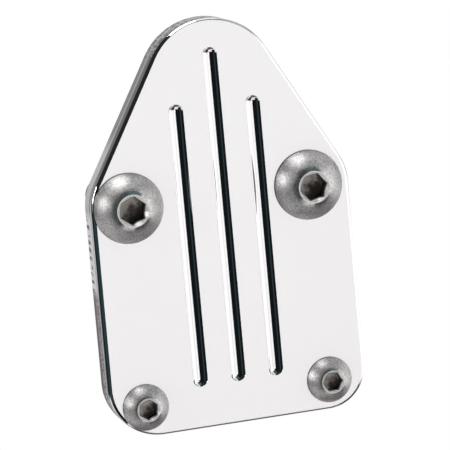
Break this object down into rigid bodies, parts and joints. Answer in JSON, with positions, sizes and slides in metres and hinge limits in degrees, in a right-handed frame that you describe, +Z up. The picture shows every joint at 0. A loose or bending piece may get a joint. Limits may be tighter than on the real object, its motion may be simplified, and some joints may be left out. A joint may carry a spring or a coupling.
{
  "type": "engine block-off cover plate",
  "caption": "Polished five-sided cover plate with ball-milled grooves, held over a pump opening by button-head socket screws and sealed by a flat gasket.",
  "frame": {"origin": "midway between the two pump-bolt axes, on the plane where the gasket seats on the engine", "axes": "+Y into the engine, along the screws; the polished front faces -Y; +Z up towards the rounded apex; +X to the right seen from the front"},
  "size_m": [0.0634, 0.0305, 0.0969],
  "materials": {
    "polished_plate": "mirror-polished face, machined sides",
    "stainless_screw": "satin stainless",
    "gasket_fibre": "dark compressed fibre sheet"
  },
  "bodies": {
    "cover": {"cover_plate": "polished_plate"},
    "gasket": {"gasket": "gasket_fibre"},
    "pump_bolt_left": {"pump_bolt_left": "stainless_screw"},
    "pump_bolt_right": {"pump_bolt_right": "stainless_screw"},
    "plate_screw_left": {"plate_screw_left": "stainless_screw"},
    "plate_screw_right": {"plate_screw_right": "stainless_screw"}
  },
  "joints": [
    {"name": "pump_bolt_left_back_out", "type": "slide", "parent": "cover", "child": "pump_bolt_left", "axis": [0, -1, 0], "range_m": [0, 0.017]},
    {"name": "pump_bolt_right_back_out", "type": "slide", "parent": "cover", "child": "pump_bolt_right", "axis": [0, -1, 0], "range_m": [0, 0.017]},
    {"name": "plate_screw_left_back_out", "type": "slide", "parent": "cover", "child": "plate_screw_left", "axis": [0, -1, 0], "range_m": [0, 0.01065]},
    {"name": "plate_screw_right_back_out", "type": "slide", "parent": "cover", "child": "plate_screw_right", "axis": [0, -1, 0], "range_m": [0, 0.01065]},
    {"name": "gasket_lift_off", "type": "slide", "parent": "cover", "child": "gasket", "axis": [0, 1, 0], "range_m": [0, 0.0175]}
  ]
}
